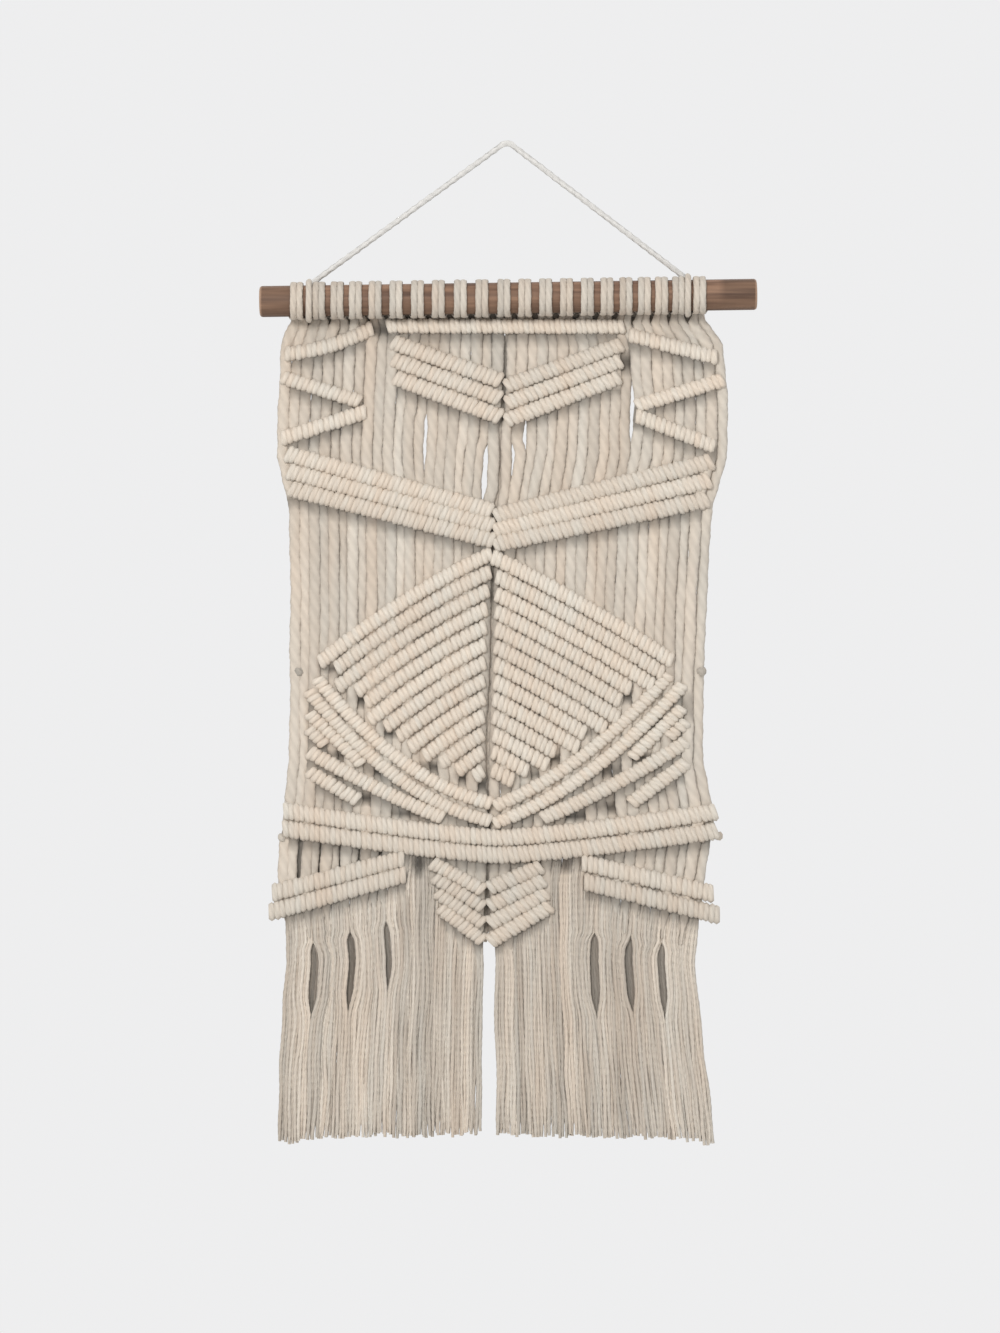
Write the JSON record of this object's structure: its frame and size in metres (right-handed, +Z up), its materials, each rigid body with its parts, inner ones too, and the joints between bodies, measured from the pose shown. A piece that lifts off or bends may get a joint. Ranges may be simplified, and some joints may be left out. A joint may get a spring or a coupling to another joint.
{
  "type": "macrame wall hanging with dowel",
  "caption": "Knotted cotton cord wall hanging on a wooden dowel, with rows of hitches in wings, chevrons, a diamond and zigzags over a long fringe, hung by one cord.",
  "frame": {"origin": "hanging point: the middle of the hanger cord where it bends over the nail, in the plane of the wall side of the panel", "axes": "+X to the right as seen, +Y into the wall, +Z up"},
  "size_m": [0.4062, 0.0408, 0.821],
  "materials": {
    "dowel_wood": "satin",
    "cotton_cord": "matte",
    "hanger_cord_cotton": "matte"
  },
  "bodies": {
    "root": {"dowel": "dowel_wood", "hanger_hitch_left": "hanger_cord_cotton", "hanger_hitch_right": "hanger_cord_cotton", "hanger_cord": "hanger_cord_cotton", "cord_01": "cotton_cord", "cord_02": "cotton_cord", "cord_03": "cotton_cord", "cord_04": "cotton_cord", "cord_05": "cotton_cord", "cord_06": "cotton_cord", "cord_07": "cotton_cord", "cord_08": "cotton_cord", "cord_09": "cotton_cord", "cord_10": "cotton_cord", "cord_11": "cotton_cord", "cord_12": "cotton_cord", "cord_13": "cotton_cord", "cord_14": "cotton_cord", "cord_15": "cotton_cord", "cord_16": "cotton_cord", "cord_17": "cotton_cord", "cord_18": "cotton_cord", "cord_19": "cotton_cord", "cord_20": "cotton_cord", "cord_21": "cotton_cord", "top_row": "cotton_cord", "zigzag_left_1": "cotton_cord", "zigzag_left_2": "cotton_cord", "zigzag_left_3": "cotton_cord", "zigzag_right_1": "cotton_cord", "zigzag_right_2": "cotton_cord", "zigzag_right_3": "cotton_cord", "wing_left": "cotton_cord", "wing_right": "cotton_cord", "vee_left": "cotton_cord", "vee_right": "cotton_cord", "diamond_left": "cotton_cord", "diamond_right": "cotton_cord", "lower_edge_left": "cotton_cord", "lower_edge_right": "cotton_cord", "fan_left": "cotton_cord", "fan_right": "cotton_cord", "crescent_left": "cotton_cord", "crescent_right": "cotton_cord", "short_crescent_left": "cotton_cord", "short_crescent_right": "cotton_cord", "sash": "cotton_cord", "low_diagonal_left": "cotton_cord", "low_diagonal_right": "cotton_cord", "point_left": "cotton_cord", "point_right": "cotton_cord"}
  },
  "joints": []
}
